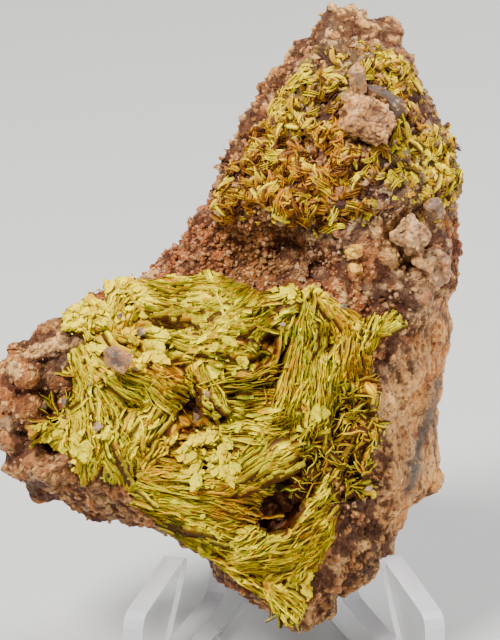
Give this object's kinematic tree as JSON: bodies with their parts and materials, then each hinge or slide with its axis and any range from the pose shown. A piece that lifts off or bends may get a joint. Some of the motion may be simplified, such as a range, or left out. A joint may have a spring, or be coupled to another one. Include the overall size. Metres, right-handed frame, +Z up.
{
  "type": "autunite mineral specimen on a clear easel",
  "caption": "Autunite specimen: fans and blades of lime-yellow crystal plates on quartz-rich rock, leaning on a clear acrylic display easel.",
  "frame": {"origin": "on the surface it stands on, under the middle of the object's box", "axes": "+Z up; -Y to the front, where the autunite faces; +X to the right seen from the front"},
  "size_m": [0.0688, 0.0684, 0.0946],
  "materials": {
    "rock": "rough, granular",
    "autunite": "pearly plates",
    "autunite_blades": "satin blades",
    "quartz": "glassy, cloudy",
    "feldspar": "matt, granular",
    "acrylic": "clear, polished, frosted cut edges"
  },
  "bodies": {
    "root": {"matrix_rock": "rock", "autunite_fans": "autunite", "autunite_crust": "autunite_blades", "quartz_crystal_left": "quartz", "quartz_crystal_smoky": "quartz", "quartz_crystal_upper": "quartz", "quartz_crystal_round": "quartz", "quartz_knob_upper": "quartz", "quartz_knob_lower": "quartz", "feldspar_chunk": "feldspar", "tan_grain_upper": "feldspar", "tan_grain_lower": "feldspar", "acrylic_stand": "acrylic"}
  },
  "joints": []
}
